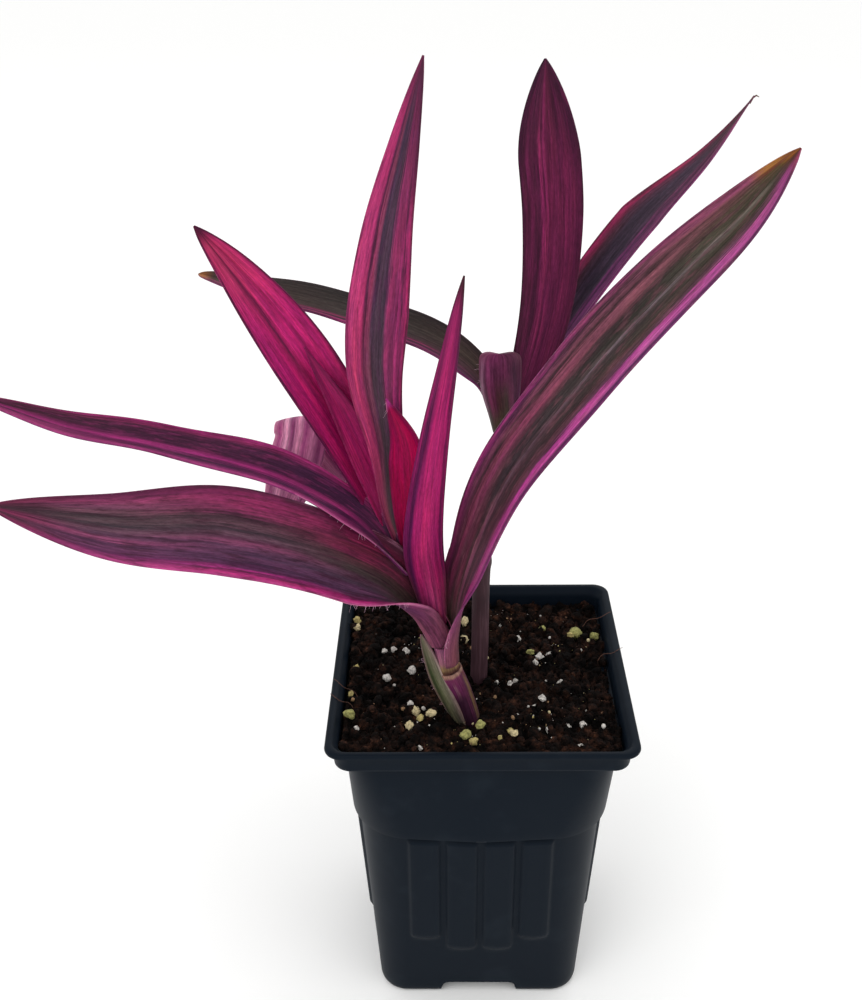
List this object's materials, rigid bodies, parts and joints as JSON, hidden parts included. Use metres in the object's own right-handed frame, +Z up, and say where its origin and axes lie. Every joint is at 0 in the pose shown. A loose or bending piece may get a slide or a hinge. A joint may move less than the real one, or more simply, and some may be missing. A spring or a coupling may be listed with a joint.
{
  "type": "potted tradescantia",
  "caption": "Striped, strap-leaved purple tradescantia on bare leaning stems, growing in a square, tapered, fluted plastic nursery pot of peat with perlite.",
  "frame": {"origin": "middle of the pot's flat underside", "axes": "+Z up, the way the plant grows; -Y is the side that the picture shows in front; +X is the picture's right"},
  "size_m": [0.2335, 0.1118, 0.3161],
  "materials": {
    "pot_plastic": "satin moulded plastic",
    "peat": "rough moist peat with perlite",
    "front_stem_skin": "satin living stem",
    "back_stem_skin": "satin living stem",
    "old_sheath_skin": "satin striped sheath",
    "far_left_upper_blade": "satin living leaf",
    "far_left_lower_blade": "satin living leaf",
    "pink_left_blade": "satin living leaf",
    "nested_young_blade": "satin living leaf",
    "tall_blade": "satin living leaf",
    "small_crimson_blade": "satin living leaf",
    "narrow_front_blade": "satin living leaf",
    "long_right_blade": "satin living leaf",
    "arching_blade": "satin living leaf",
    "wine_upright_blade": "satin living leaf",
    "dark_right_blade": "satin living leaf",
    "dark_left_blade": "satin living leaf",
    "cupped_blade": "satin living leaf"
  },
  "bodies": {
    "root": {"pot": "pot_plastic", "soil": "peat", "front_stem": "front_stem_skin", "back_stem": "back_stem_skin", "front_old_sheath": "old_sheath_skin", "front_leaf_upper_left": "far_left_upper_blade", "front_leaf_lower_left": "far_left_lower_blade", "front_leaf_up_left": "pink_left_blade", "front_leaf_nested": "nested_young_blade", "front_leaf_tall": "tall_blade", "front_leaf_small": "small_crimson_blade", "front_leaf_narrow": "narrow_front_blade", "front_leaf_long_right": "long_right_blade", "front_leaf_arching": "arching_blade", "back_leaf_upright": "wine_upright_blade", "back_leaf_right": "dark_right_blade", "back_leaf_left": "dark_left_blade", "back_leaf_cupped": "cupped_blade"}
  },
  "joints": []
}
